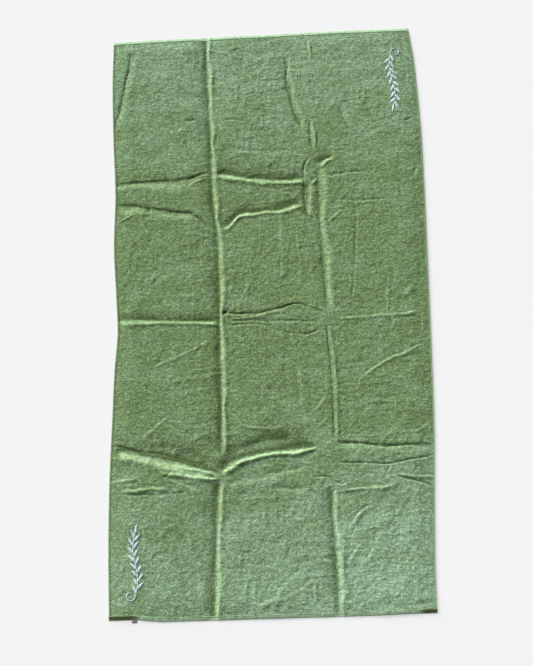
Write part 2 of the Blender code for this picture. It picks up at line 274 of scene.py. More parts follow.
# %% Soft noise, for whatever has no rule
def soft_noise(x, y, cell, seed):
    """Smooth random hills from -1 to 1, about one cell across, the same on every run."""
    lattice = np.random.default_rng(seed).uniform(-1.0, 1.0, (64, 64))
    column, row = x / cell, y / cell
    i, j = np.floor(column).astype(int), np.floor(row).astype(int)
    s, t = smooth_step(column - i), smooth_step(row - j)
    i, j, right, above = i % 64, j % 64, (i + 1) % 64, (j + 1) % 64
    low = lattice[i, j] * (1 - s) + lattice[right, j] * s
    high = lattice[i, above] * (1 - s) + lattice[right, above] * s
    return low * (1 - t) + high * t


# %% Distances from a crease
def rounded_path(points, spacing=8.0):
    """A smooth line through a crease's points, as closely spaced points."""
    points = np.array(points, float)
    reach = np.concatenate([[0], np.cumsum(np.linalg.norm(np.diff(points, axis=0), axis=1))])
    at = np.linspace(0, reach[-1], max(2, int(reach[-1] / spacing)) + 1)
    if len(points) == 2:
        return np.column_stack([np.interp(at, reach, column) for column in points.T])
    columns = [smooth_through(list(zip(reach, column)), at) for column in points.T]
    return np.column_stack(columns)


def beside(path, x, y):
    """Each point's distance from a path, its side and how far along, and the path's length."""
    best = np.full(x.shape, 1e9)
    side = np.ones(x.shape)
    along = np.zeros(x.shape)
    done = 0.0
    for start, end in zip(path[:-1], path[1:]):
        step = end - start
        length = np.hypot(*step)
        dx, dy = x - start[0], y - start[1]
        t = np.clip((dx * step[0] + dy * step[1]) / length**2, 0.0, 1.0)
        distance = np.hypot(dx - t * step[0], dy - t * step[1])
        nearer = distance < best
        best = np.where(nearer, distance, best)
        side = np.where(nearer, np.sign(step[0] * dy - step[1] * dx), side)
        along = np.where(nearer, done + t * length, along)
        done += length
    return best, side, along, done


# %% The height that the creases give
LONG_FOLD = 250.0  # millimetres, from which a fold counts as pressed in
FADE_OUT = 24.0  # millimetres over which a crease dies out at its ends
CLOTH_END = 690.0  # a crease that starts or stops beyond this runs off the cloth
WAVERS = ((1.5, 22.0), (0.8, 7.0))  # how far creases wander, and over what length


def crease_relief(x, y):
    """What the creases add at points in millimetres: height, painted shade and painted highlight."""
    height, painted_shade, painted_highlight = np.zeros(x.shape), np.zeros(x.shape), np.zeros(x.shape)
    for number, (kind, strength, *points) in enumerate(CREASES):
        dip, crest, wide, steep, fall, highlight_share, sink = PROFILES[kind]
        path = rounded_path(points)
        reach = max(3 * wide, 2 * steep, 70 if sink else 0)
        low, high = path.min(0) - reach, path.max(0) + reach
        near = (x > low[0]) & (x < high[0]) & (y > low[1]) & (y < high[1])
        if not near.any():
            continue
        px, py = x[near], y[near]
        distance, side, along, length = beside(path, px, py)
        # An upright crease dips on its left and a level one on its upper side.
        upright = abs(path[-1, 1] - path[0, 1]) > abs(path[-1, 0] - path[0, 0])
        shade = -side * distance if upright and path[-1, 1] < path[0, 1] else side * distance
        # Creases waver, and the long folds, which were pressed, waver least.
        wander = 0.35 if length > LONG_FOLD else 1.0
        for swing, cell in WAVERS:
            shade += swing * wander * soft_noise(px, py, cell, number)
        shade /= 1.0 + 0.35 * soft_noise(along, along * 0, 38.0, 300 + number)
        # A crease dies out at its ends, unless it runs off the cloth there.
        fade = min(FADE_OUT, length / 3)
        ends = smooth_step(along / fade) * smooth_step((length - along) / fade)
        if abs(path[0, 1]) > CLOTH_END:
            ends = np.maximum(ends, along < length / 2)
        if abs(path[-1, 1]) > CLOTH_END:
            ends = np.maximum(ends, along > length / 2)
        amount = strength * ends * (1.0 + 0.35 * soft_noise(px, py, 45.0, 200 + number))
        gentle = -dip * np.exp(-((np.maximum(shade, 0) / wide) ** 1.35) * 1.6)
        rise = smooth_step(-shade / steep)
        beyond = np.maximum(-shade - steep, 0.0)
        sharp = -dip * (1 - rise) + crest * rise * np.exp(-((beyond / fall) ** 2))
        basin = -sink * np.exp(-((distance / 30.0) ** 1.3))
        height[near] += amount * (np.where(shade > 0, gentle, sharp) + basin)
        # Shade is painted along the bottom of the dip, and a highlight on the side that faces the
        # light.
        valley = np.where(shade > 0, shade - 0.2 * wide, 3 * (shade - 0.2 * wide))
        painted_shade[near] += amount * dip / 4 * np.exp(-((valley / (0.42 * wide + 1)) ** 2))
        lit = (shade + 0.62 * steep) / (0.42 * steep)
        painted_highlight[near] += amount * highlight_share * np.exp(-(lit**2))
    return height, painted_shade, painted_highlight * (0.7 + 0.5 * soft_noise(x, y, 5.0, 400))


# %% Small wrinkles
WRINKLE_RUNS = ((4, 1.1), (88, 1.0), (45, 0.5), (-20, 0.4))  # degrees, and millimetres high


def small_wrinkles(x, y):
    """Fine wavy ridges in patches: some lie across the cloth, some along it, some aslant."""
    height = np.zeros(x.shape)
    for seed, (angle, amount) in enumerate(WRINKLE_RUNS):
        turn = math.radians(angle)
        u = x * math.cos(turn) + y * math.sin(turn)
        v = y * math.cos(turn) - x * math.sin(turn)
        ridge = 1.0 - np.abs(soft_noise(u * 0.28, v, 15.0, 50 + seed))
        patch = smooth_step(1.8 * soft_noise(x, y, 85.0, 60 + seed))
        height += amount * patch * ridge**5
    return height


# %% The upper side of the cloth
LOWEST, HIGHEST = 1.5, 10.2  # millimetres that the pile may be pressed to, or stand


def top_of(x, y):
    """Height of the cloth's upper side, and its painted shade and painted highlight."""
    mx, my = x / MM, y / MM
    creases, painted_shade, painted_highlight = crease_relief(mx, my)
    left = smooth_through(LEFT_SIDE, my)
    right = smooth_through(RIGHT_SIDE, my)
    from_side = np.minimum(mx - left, right - mx)
    from_end = HALF_LENGTH / MM - np.abs(my)
    # The inner cloth billows and its edges lie down.
    lifted = smooth_step(from_side / 45.0) * smooth_step((from_end + 12) / 45.0)
    billow = 2.5 + 0.9 * soft_noise(mx, my, 95.0, 11) + 0.6 * soft_noise(mx, my, 41.0, 12)
    ripple = 0.35 * soft_noise(mx, my * 0.35, 13.0, 13) + 0.35 * soft_noise(mx * 0.4, my, 12.0, 14)
    # The pile is rougher towards the lower end.
    lower_end = 0.5 + 0.5 * smooth_step((-my - 250) / 200)
    clumps = 0.34 * soft_noise(mx, my, 6.5, 15) + 0.40 * soft_noise(mx, my, 3.7, 16)
    clumps += 0.5 * lower_end * soft_noise(mx, my, 10.5, 17)
    height = CLOTH_THICKNESS / MM + (billow + ripple) * lifted
    height += clumps * smooth_step(from_side / 8.0) + small_wrinkles(mx, my) * lifted
    height -= 1.0 * (1.0 - smooth_step(from_side / 14.0))
    height += creases * (0.55 + 0.45 * lifted)
    # The pile can be pressed flat but not through the table, and no crest stands high.
    height = LOWEST + np.logaddexp(0, (height - LOWEST) * 2.2) / 2.2
    height = HIGHEST - np.logaddexp(0, (HIGHEST - height) * 2.2) / 2.2
    # Beside the left edge a darker strip is painted in.
    painted_shade += 0.8 * (1.0 - smooth_step((from_side - 3.0) / 6.0)) * (mx < 0)
    return height * MM, np.clip(painted_shade, 0.0, 1.0), np.clip(painted_highlight, 0.0, 1.0)


# %% [markdown]
# ## The terry cloth
# The cloth is made as three sheets that meet inside the two long folds, because those
# are the lines it bends along when it is put away. Each is a closed skin: an upper side
# with the creases, a lower side one cloth thickness under it, or on the table where the
# cloth is pressed down, and a rim. A map in metres of flat cloth, called `cloth`, goes
# with every point, so that pile and weave stay in place when the cloth bends.

# %% A new object, and the map of the flat cloth
def new_piece(name, mesh):
    piece = bpy.data.objects.new(name, mesh)
    bpy.context.scene.collection.objects.link(piece)
    return piece


def map_flat(mesh, across, along):
    """Adds the map called cloth: each point's place on the flat cloth, in metres."""
    places = np.column_stack([across, along]).astype(np.float32)
    layer = mesh.uv_layers.new(name="cloth")
    corners = np.empty(len(mesh.loops), np.int32)
    mesh.loops.foreach_get("vertex_index", corners)
    layer.uv.foreach_set("vector", places[corners].ravel())


# %% A closed skin between two grids of points
def both_sides(grid):
    """A grid's values in the order of a skin's points."""
    return np.concatenate([grid.ravel(), grid[::2, ::2].ravel()])


def skin(name, across, along, upper, lower, places):
    """A mesh with a fine upper side, an underside half as fine, and a rim between them.

    The grids have an odd number of rows and columns, and places are their x and y.
    """
    rows, columns = across.shape
    fine = np.arange(rows * columns).reshape(rows, columns)
    low_rows, low_columns = fine[::2, ::2].shape
    coarse = np.arange(low_rows * low_columns).reshape(low_rows, low_columns) + fine.size

    def squares(index):
        corners = index[:-1, :-1], index[:-1, 1:], index[1:, 1:], index[1:, :-1]
        return np.stack(corners, -1).reshape(-1, 4)

    def ring(index):
        return np.concatenate([index[0], index[1:, -1], index[-1, -2::-1], index[-2:0:-1, 0]])

    outer, inner = ring(fine), ring(coarse)
    rim = np.column_stack([
        inner, np.roll(inner, -1), np.roll(outer, -2)[::2], np.roll(outer, -1)[::2], outer[::2],
    ])
    faces = [*squares(fine).tolist(), *squares(coarse)[:, ::-1].tolist(), *rim.tolist()]
    x, y = places
    points = np.concatenate([
        np.column_stack([x.ravel(), y.ravel(), upper.ravel()]),
        np.column_stack([x[::2, ::2].ravel(), y[::2, ::2].ravel(), lower[::2, ::2].ravel()]),
    ])
    mesh = bpy.data.meshes.new(name)
    mesh.from_pydata(points, [], faces)
    mesh.polygons.foreach_set("use_smooth", np.ones(len(faces), bool))
    map_flat(mesh, both_sides(across), both_sides(along))
    mesh.set_sharp_from_angle(angle=math.radians(70))
    return mesh


# %% The three sheets
FOLD_START = FOLD_X - 3.0 * MM  # where the cloth begins to turn with a side third
SELVEDGE_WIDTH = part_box("selvedge_right")[1].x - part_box("terry_right")[1].x
SHEETS = {
    "left": (-HALF_WIDTH + SELVEDGE_WIDTH, -FOLD_START),
    "centre": (-FOLD_START, FOLD_START),
    "right": (FOLD_START, HALF_WIDTH - SELVEDGE_WIDTH),
}
TUCK = 2.0 * MM  # how far the pile runs in under the edge of a hem


def make_sheet(third):
    low, high = SHEETS[third]
    reach = HALF_LENGTH - HEM_DEPTH + TUCK
    columns = np.linspace(low, high, 2 * round((high - low) / GRID / 2) + 1)
    rows = np.linspace(-reach, reach, 2 * round(reach / GRID) + 1)
    across, along = np.meshgrid(columns, rows)
    x, y = lay(across, along)
    upper, painted_shade, painted_highlight = top_of(x, y)
    lower = np.maximum(upper - CLOTH_THICKNESS, 0.0)
    mesh = skin("terry_cloth_" + third, across, along, upper, lower, (x, y))
    for attribute, grid in (("painted_shade", painted_shade), ("painted_highlight", painted_highlight)):
        layer = mesh.attributes.new(attribute, "FLOAT", "POINT")
        layer.data.foreach_set("value", both_sides(grid).astype(np.float32))
    print(mesh.name, len(mesh.polygons), "faces, highest", round(upper.max() / MM, 1), "mm")
    return new_piece(mesh.name, mesh)


sheets = {third: make_sheet(third) for third in SHEETS}

# %% [markdown]
# ## Hems
# Each end of the cloth is turned over twice and sewn down, which makes a firm band about
# 10 mm deep, rounder at its outer edge and free of pile. It is a loft: one cross-section
# carried along the end of the cloth, puckered a little by its stitches, and closed at
# both ends. At the towel's lower corners, where the hem ends, the band is rolled under,
# and its colour there is painted darker as shade.

# %% A closed tube through rings of points
def loft(name, points, across, along):
    """A closed tube through rings of points, with flat ends and the map called cloth."""
    rings, sides, _ = points.shape
    bm = bmesh.new()
    made = [[bm.verts.new(p) for p in ring] for ring in points]
    for i in range(rings - 1):
        for j in range(sides):
            k = (j + 1) % sides
            bm.faces.new((made[i][j], made[i][k], made[i + 1][k], made[i + 1][j]))
    bm.faces.new(made[0][::-1])
    bm.faces.new(made[-1])
    bmesh.ops.recalc_face_normals(bm, faces=bm.faces)
    for face in bm.faces:
        face.smooth = len(face.verts) == 4
    mesh = bpy.data.meshes.new(name)
    bm.to_mesh(mesh)
    bm.free()
    map_flat(mesh, across.ravel(), along.ravel())
    return new_piece(name, mesh)


# %% Where a hem lies, and where it is twisted
HEM_RISE = 0.6 * MM  # how far the band stands above the pile next to it
HEM_LOWEST, HEM_HIGHEST = 1.2 * MM, 9.6 * MM  # for its upper side, wherever it is twisted


def hem_frame(across, end):
    """For places across one end: its outer edge's x and y, its inner edge's x and height."""
    x, y = lay(across, np.full(across.shape, end * HALF_LENGTH))
    wave = 0.9 * soft_noise(across / MM, across * 0 + end * 50, 60.0, 31)
    inner_x, inner_y = lay(across, np.full(across.shape, end * (HALF_LENGTH - HEM_DEPTH)))
    height = top_of(inner_x, inner_y)[0]
    return x, y + wave * MM, inner_x, height


def twist(across, end):
    """How far the hem is rolled under, from 0 to 1: only near the towel's lower corners."""
    left = 1 - smooth_step((across + HALF_WIDTH - 45 * MM) / (25 * MM))
    right = 1 - smooth_step((HALF_WIDTH - across - 22 * MM) / (18 * MM))
    return (left + right) * (end < 0)


# %% The band's two sides
ROUND_ACROSS, ROUND_UP = 0.6, 0.75  # powers that make the band's section a rounded oblong


def hem_sides(height, rolled, depth):
    """The band's upper side and underside at a depth: 0 at its outer edge, 1 inside."""
    # The outer edge is 2.4 mm lower than the inner one, and 5 mm more where it is rolled.
    top = np.minimum(height + HEM_RISE + 2.8 * MM * rolled * depth, HEM_HIGHEST)
    upper = top - (2.4 + 5.0 * rolled) * MM * (1 - depth) ** (1.3 - 0.2 * rolled)
    upper = np.maximum(upper, HEM_LOWEST)
    return upper, np.clip(top - HEM_THICKNESS, 0.0, upper - 1.0 * MM)


def hem_skin(across, end, depth):
    """Heights of the rounded band's upper and lower skin along one line across it."""
    upper, under = hem_sides(hem_frame(across, end)[3], twist(across, end), depth)
    bulge = (1 - abs(1 - 2 * depth) ** (2 / ROUND_ACROSS)) ** (ROUND_UP / 2)
    middle, half = (upper + under) / 2, (upper - under) / 2 * bulge
    return middle + half, middle - half


# %% Hem bands
HEM_SECTION = 16  # points round the band
HEM_STEP = 2.5 * MM  # from one ring of points to the next
PUCKER = 0.25  # millimetres that the band swells between its stitches
PUCKER_LENGTH = 7.0


def hem_band(name, low, high, end):
    """A rounded band along one end of the cloth, from low to high across it."""
    across = np.linspace(low, high, round((high - low) / HEM_STEP) + 1)
    x, y, inner_x, height = hem_frame(across, end)
    swell = PUCKER * MM * np.sin(2 * np.pi * across / MM / PUCKER_LENGTH)
    swell += 0.3 * MM * soft_noise(across / MM, across * 0, 17.0, 33)
    turn = np.linspace(0, 2 * np.pi, HEM_SECTION, endpoint=False)
    rounded = np.sign(np.cos(turn)) * np.abs(np.cos(turn)) ** ROUND_ACROSS
    upright = np.sign(np.sin(turn)) * np.abs(np.sin(turn)) ** ROUND_UP
    depth = (1 - rounded[None, :]) / 2  # 0 at the outer edge, 1 at the inner side
    rolled = twist(across, end)[:, None]
    upper, under = hem_sides((height + swell)[:, None], rolled, depth)
    z = (upper + under) / 2 + (upper - under) / 2 * upright[None, :]
    ring_x = x[:, None] * (1 - depth) + inner_x[:, None] * depth
    ring_y = y[:, None] - end * HEM_DEPTH * depth
    points = np.stack([ring_x, ring_y, z], -1)
    along = end * (HALF_LENGTH - HEM_DEPTH * depth) + 0 * across[:, None]
    band = loft(name, points, across[:, None] + 0 * depth, along)
    # The rolled share is kept as painted shade: the band is painted darker where it is rolled under.
    layer = band.data.attributes.new("painted_shade", "FLOAT", "POINT")
    layer.data.foreach_set("value", (rolled + 0 * depth).ravel().astype(np.float32))
    return band


# %% The six bands
HEM_SPANS = {
    "left": (-HALF_WIDTH, -FOLD_START),
    "centre": (-FOLD_START, FOLD_START),
    "right": (FOLD_START, HALF_WIDTH),
}
ENDS = {"top": 1, "bottom": -1}
hems = {}
for end_name, end_side in ENDS.items():
    for third, (span_low, span_high) in HEM_SPANS.items():
        hem_name = f"turned_hem_{end_name}_{third}"
        hems[end_name, third] = hem_band(hem_name, span_low, span_high, end_side)
print(len(hems), "hem bands")

# %% [markdown]
# ## Selvedges
# The long sides are not turned: the loom leaves a narrow flat strip without pile there.
# The strip is a thin loft that follows the side of the cloth, and its thread comes next.

# %% The pile-free strips along the sides
STRIP_THICKNESS = 2.0 * MM
STRIP_DROP = 0.7 * MM  # how far it lies below the tips of the pile
STRIP_LOWEST = 0.2 * MM
STRIP_OVERLAP = 1.5 * MM
OVERLOCK_PITCH = 4.0 * MM  # the thread draws the edge in at every stitch
TOOTH = 0.8 * MM  # how far the edge swells out between two stitches


def strip_base(x, y):
    """Height of a side strip's underside."""
    return np.maximum(top_of(x, y)[0] - STRIP_DROP - STRIP_THICKNESS, STRIP_LOWEST)


def side_strip(name, side):
    rows = round(4 * (HALF_LENGTH - HEM_DEPTH) / HEM_STEP)
    along = np.linspace(-HALF_LENGTH + HEM_DEPTH, HALF_LENGTH - HEM_DEPTH, rows + 1)
    inner, outer = HALF_WIDTH - SELVEDGE_WIDTH - STRIP_OVERLAP, HALF_WIDTH - 0.5 * MM
    shoulder = outer - 0.6 * MM
    section = [(inner, 0.0), (shoulder, 0.0), (outer, 0.3), (outer, 0.7), (shoulder, 1.0), (inner, 1.0)]
    rings, flat = [], []
    for reach, share in section:
        tooth = TOOTH * np.abs(np.sin(np.pi * along / OVERLOCK_PITCH)) * (reach > inner)
        across = side * (reach - TOOTH / 2 + tooth)
        x, y = lay(across, along)
        rings.append(np.column_stack([x, y, strip_base(x, y) + STRIP_THICKNESS * share]))
        flat.append(across)
    flat = np.stack(flat, 1)
    return loft(name, np.stack(rings, 1), flat, along[:, None] + 0 * flat)


strips = {"left": side_strip("selvedge_strip_left", -1)}
strips["right"] = side_strip("selvedge_strip_right", 1)
print("selvedge strips:", [len(strip.data.vertices) for strip in strips.values()])

# %% [markdown]
# ## Thread work with Geometry Nodes
# Lockstitches, overlock loops and satin stitches are one small shape repeated hundreds
# of times along a path, which is what Geometry Nodes are for. One helper adds a node
# with its settings and links, in geometry trees and in materials alike. Another gives a
# path to a tree, sets the tree's named inputs, and keeps the result as a plain mesh.

# %% One helper that adds any node
def linear(hex_colour):
    """An sRGB hex value as the linear colour that shaders use."""
    parts = [int(hex_colour[i : i + 2], 16) / 255 for i in (1, 3, 5)]
    parts = [p / 12.92 if p <= 0.04045 else ((p + 0.055) / 1.055) ** 2.4 for p in parts]
    return (*parts, 1.0)


def add_node(tree, kind, links=None, stops=(), **settings):
    """Adds a node with its settings, its inputs and a ramp's stops, and returns it.

    links gives inputs by name or number: each is a value, a hex colour, a socket, or
    another node, whose first output is then used. Stops are (place, hex colour) pairs.
    """
    made = tree.nodes.new(kind)
    for key, value in settings.items():
        setattr(made, key, value)
    for key, value in (links or {}).items():
        if isinstance(value, bpy.types.Node):
            value = value.outputs[0]
        if isinstance(value, bpy.types.NodeSocket):
            tree.links.new(value, made.inputs[key])
        else:
            made.inputs[key].default_value = linear(value) if isinstance(value, str) else value
    while len(stops) > 2 and len(made.color_ramp.elements) < len(stops):
        made.color_ramp.elements.new(0.5)
    for number, (place, colour) in enumerate(stops):
        made.color_ramp.elements[number].position = place
        made.color_ramp.elements[number].color = linear(colour)
    return made


# %% Helpers for trees of stitches
def new_tree(name, **sizes):
    """A geometry tree with a path in, a mesh out, a material and named sizes in metres."""
    tree = bpy.data.node_groups.new(name, "GeometryNodeTree")
    tree.interface.new_socket("Path", in_out="INPUT", socket_type="NodeSocketGeometry")
    for key, value in sizes.items():
        socket = tree.interface.new_socket(key, in_out="INPUT", socket_type="NodeSocketFloat")
        socket.default_value = value
    tree.interface.new_socket("Thread", in_out="INPUT", socket_type="NodeSocketMaterial")
    tree.interface.new_socket("Stitches", in_out="OUTPUT", socket_type="NodeSocketGeometry")
    return tree, tree.nodes.new("NodeGroupInput").outputs


def thread_round(tree, given, curve, sides, capped=True):
    """Turns a curve into thread: a round section carried along it."""
    section = add_node(
        tree, "GeometryNodeCurvePrimitiveCircle", {"Resolution": sides, "Radius": given["Radius"]}
    )
    return add_node(
        tree, "GeometryNodeCurveToMesh",
        {"Curve": curve, "Profile Curve": section, "Fill Caps": capped},
    )


def copies_along(tree, given, stitch):
    """Sets a copy of a stitch at every pitch along the path, turned to follow it."""
    line = add_node(tree, "GeometryNodeMeshToCurve", {"Mesh": given["Path"]})
    places = add_node(
        tree, "GeometryNodeCurveToPoints", {"Curve": line, "Length": given["Pitch"]}, mode="LENGTH"
    )
    facing = add_node(
        tree, "FunctionNodeAlignRotationToVector", {"Vector": places.outputs["Tangent"]},
        axis="X", pivot_axis="Z",
    )
    return add_node(
        tree, "GeometryNodeInstanceOnPoints",
        {"Points": places, "Instance": stitch, "Rotation": facing},
    )


def end_tree(tree, given, geometry):
    """Makes the copies real, smooth and painted, and puts them out."""
    real = add_node(tree, "GeometryNodeRealizeInstances", {"Geometry": geometry})
    smooth = add_node(tree, "GeometryNodeSetShadeSmooth", {"Geometry": real})
    painted = add_node(
        tree, "GeometryNodeSetMaterial", {"Geometry": smooth, "Material": given["Thread"]}
    )
    add_node(tree, "NodeGroupOutput", {0: painted})


# %% From a path and a tree to a plain mesh
def sewn(name, paths, tree, material, **sizes):
    """Runs a tree along paths, each a list of points, and keeps the result as a mesh."""
    points = np.concatenate([np.asarray(path) for path in paths])
    edges, first = [], 0
    for path in paths:
        edges += [(first + i, first + i + 1) for i in range(len(path) - 1)]
        first += len(path)
    mesh = bpy.data.meshes.new(name + "_path")
    mesh.from_pydata(points.tolist(), edges, [])
    piece = new_piece(name, mesh)
    modifier = piece.modifiers.new("stitches", "NODES")
    modifier.node_group = tree
    for item in tree.interface.items_tree:
        if item.in_out == "INPUT" and item.name in sizes:
            modifier[item.identifier] = sizes[item.name]
        if item.name == "Thread":
            modifier[item.identifier] = material
    graph = bpy.context.evaluated_depsgraph_get()
    made = bpy.data.meshes.new_from_object(piece.evaluated_get(graph))
    piece.modifiers.remove(modifier)
    piece.data = made
    made.name = name
    bm = bmesh.new()
    bm.from_mesh(made)
    bmesh.ops.recalc_face_normals(bm, faces=bm.faces)
    bm.to_mesh(made)
    bm.free()
    print(name, len(made.polygons), "faces")
    return piece


# %% [markdown]
# ## Materials
# Everything on this towel is yarn, so nothing is glossy and nothing is one flat colour.
# The greens are written as sRGB hex values and turned linear by one function. Patterns
# are sized in real millimetres on the `cloth` map, which is in metres.

# %% Helpers for materials
COLOUR_A, COLOUR_B, COLOUR_OUT = 6, 7, 2  # a Mix node's colour inputs and its colour output


def new_material(name, roughness, sheen=0.0, sheen_roughness=0.5, specular=0.5):
    """A material with a Principled shader, whose constants are set on its own sockets."""
    material = bpy.data.materials.new(name)
    material.use_nodes = True
    tree = material.node_tree
    shader = tree.nodes["Principled BSDF"]
    shader.inputs["Roughness"].default_value = roughness
    shader.inputs["Sheen Weight"].default_value = sheen
    shader.inputs["Sheen Roughness"].default_value = sheen_roughness
    shader.inputs["Specular IOR Level"].default_value = specular
    return material, tree, shader


def flat_place(tree, width, height, turn=0.0):
    """The cloth map, scaled so that one unit is width by height millimetres."""
    flat = add_node(tree, "ShaderNodeUVMap", uv_map="cloth")
    return add_node(tree, "ShaderNodeMapping", {
        "Vector": flat, "Rotation": (0.0, 0.0, turn), "Scale": (1000.0 / width, 1000.0 / height, 1.0),
    })


def weighted(tree, *parts):
    """Adds up patterns, each given as (pattern, weight)."""
    total = None
    for pattern, weight in parts:
        part = add_node(tree, "ShaderNodeMath", {0: pattern, 1: weight}, operation="MULTIPLY")
        if total is not None:
            part = add_node(tree, "ShaderNodeMath", {0: total, 1: part}, operation="ADD")
        total = part
    return total


def tinted(tree, colour, attribute, share, other, blend_type="MIX"):
    """Mixes another colour in, by a share of one of the mesh's attributes."""
    where = add_node(tree, "ShaderNodeAttribute", attribute_name=attribute).outputs["Fac"]
    amount = weighted(tree, (where, share))
    links = {"Factor": amount, COLOUR_A: colour, COLOUR_B: other}
    mixed = add_node(tree, "ShaderNodeMix", links, data_type="RGBA", blend_type=blend_type)
    return mixed.outputs[COLOUR_OUT]


def finish_surface(tree, shader, colour, *layers):
    """Links the colour, and stacks bumps: (pattern, full height in millimetres, strength)."""
    tree.links.new(colour, shader.inputs["Base Color"])
    links = {}
    for pattern, height, strength in layers:
        links |= {"Height": pattern, "Distance": height * MM, "Strength": strength}
        links["Normal"] = add_node(tree, "ShaderNodeBump", links)
    tree.links.new(links["Normal"].outputs[0], shader.inputs["Normal"])


# %% [markdown]
# ### Cotton terry
# Terry is woven with loops of soft yarn standing about 2 mm high on both sides. From a
# step away the loops read as a mottled nap: clumps of lit loop tips with dark gaps. The
# nap leans this way and that, so broad patches are paler or deeper; towards the upper end
# and the right of the lower end a painted sheen makes the pile paler and cooler. The loops
# are about 1.2 mm wide, too fine for the picture, so the clumps are drawn 3 to 8 mm across.

# %% Cotton terry, looped pile
TERRY_PATTERNS = (  # width and height in millimetres, turn, and the noise's detail and roughness
    (3.4, 3.0, 0.0, 3.0, 0.75),  # fine grain of the loops
    (9.0, 6.5, 0.35, 2.0, 0.6),  # clumps of loops
    (26.0, 5.0, -0.06, 2.0, 0.6),  # streaks along the weft
    (85.0, 60.0, 0.0, 4.0, 0.65),  # patches of nap
)


def painted_sheen_and_nap(tree, nap):
    """Where the pile is painted paler: a painted sheen at the two ends, and random patches of nap."""
    flat = add_node(tree, "ShaderNodeUVMap", uv_map="cloth")
    across, along, _ = add_node(tree, "ShaderNodeSeparateXYZ", {0: flat}).outputs
    lower = add_node(
        tree, "ShaderNodeMapRange", {"Value": along, "From Min": -0.22, "From Max": -0.62}
    )
    right = add_node(
        tree, "ShaderNodeMapRange",
        {"Value": across, "From Min": -0.15, "From Max": 0.35, "To Min": 0.45},
    )
    upper = add_node(
        tree, "ShaderNodeMapRange",
        {"Value": along, "From Min": 0.28, "From Max": 0.60, "To Max": 0.45},
    )
    patches = add_node(
        tree, "ShaderNodeMapRange",
        {"Value": nap, "From Min": 0.35, "From Max": 0.65, "To Min": -0.24, "To Max": 0.28},
    )
    lower_right = add_node(tree, "ShaderNodeMath", {0: lower, 1: right}, operation="MULTIPLY")
    return weighted(tree, (lower_right, 1.0), (upper, 1.0), (patches, 1.0))


def cotton_terry():
    material, tree, shader = new_material("cotton_terry_looped_pile", 0.95, 0.25, 0.6, 0.15)
    fine, clump, streak, nap = (
        add_node(tree, "ShaderNodeTexNoise", {
            "Vector": flat_place(tree, *place), "Scale": 1.0, "Detail": detail, "Roughness": roughness,
        })
        for *place, detail, roughness in TERRY_PATTERNS
    )
    depth = weighted(tree, (fine, 0.60), (clump, 0.25), (streak, 0.15))
    # The pale ramp gives the painted sheen, and the third ramp the pale tips of the painted highlight
    # on crests.
    deep, pale, crest_highlight_colour = (
        add_node(tree, "ShaderNodeValToRGB", {"Fac": depth}, stops)
        for stops in (
            ((0.35, "#3D5427"), (0.50, "#6A8455"), (0.65, "#ABC694")),
            ((0.36, "#52704B"), (0.50, "#8DAD8D"), (0.64, "#D4EDD2")),
            ((0.34, "#86A86C"), (0.50, "#B2D39A"), (0.66, "#E2F8CE")),
        )
    )
    links = {"Factor": painted_sheen_and_nap(tree, nap), COLOUR_A: deep, COLOUR_B: pale}
    yarn = add_node(tree, "ShaderNodeMix", links, data_type="RGBA").outputs[COLOUR_OUT]
    # Painted highlight: the side of each crest that faces the light is mixed towards pale tips.
    yarn = tinted(tree, yarn, "painted_highlight", 0.85, crest_highlight_colour)
    # Painted shade: the pile is darkened to olive along the bottom of each crease's dip, and in a strip
    # by the left edge.
    yarn = tinted(tree, yarn, "painted_shade", 0.75, "#9A9C70", "MULTIPLY")
    loops = add_node(
        tree, "ShaderNodeTexVoronoi", {"Vector": flat_place(tree, 1.5, 1.3), "Scale": 1.0}
    )
    domes = add_node(tree, "ShaderNodeMath", {0: 1.0, 1: loops}, operation="SUBTRACT")
    finish_surface(tree, shader, yarn, (domes, 0.8, 0.5), (fine, 2.2, 0.9), (clump, 1.8, 0.6))
    shader.inputs["Sheen Tint"].default_value = linear("#C9E6BC")
    return material


terry = cotton_terry()
print(terry.name, len(terry.node_tree.nodes), "nodes")

# %% [markdown]
# ### Flat-woven hem, selvedge and the threads
# The hem and the selvedge are the same yarn woven plainly, so a fine rib replaces the
# pile and the colour is a little paler. The sewing and overlock threads are spun
# polyester, with a twist that shows as slanting light and dark. The embroidery is
# trilobal polyester, whose smooth filaments give satin stitches their silky shine.

# %% Plain weave
def plain_weave(name, dark, mid, pale, rib):
    material, tree, shader = new_material(name, 0.9, 0.15, 0.5, 0.2)
    place = flat_place(tree, rib, rib)
    weft, warp = (
        add_node(tree, "ShaderNodeTexWave", {
            "Vector": place, "Scale": scale, "Distortion": 1.2, "Detail": 1.0, "Detail Scale": 0.6,
        }, bands_direction=direction).outputs["Fac"]
        for direction, scale in (("Y", 1.0), ("X", 0.8))
    )
    worn = add_node(tree, "ShaderNodeTexNoise", {
        "Vector": flat_place(tree, 14.0, 5.0), "Scale": 1.0, "Detail": 3.0, "Roughness": 0.6,
    })
    weave = weighted(tree, (weft, 0.18), (warp, 0.12))
    tone = weighted(tree, (weave, 1.0), (worn, 0.7))
    stops = ((0.25, dark), (0.50, mid), (0.75, pale))
    colour = add_node(tree, "ShaderNodeValToRGB", {"Fac": tone}, stops)
    # Painted shade: olive darkening where a hem is rolled under at the lower corners.
    colour = tinted(tree, colour, "painted_shade", 0.85, "#A5A172", "MULTIPLY")
    finish_surface(tree, shader, colour, (weave, 0.5, 0.6), (worn, 0.8, 0.4))
    return material


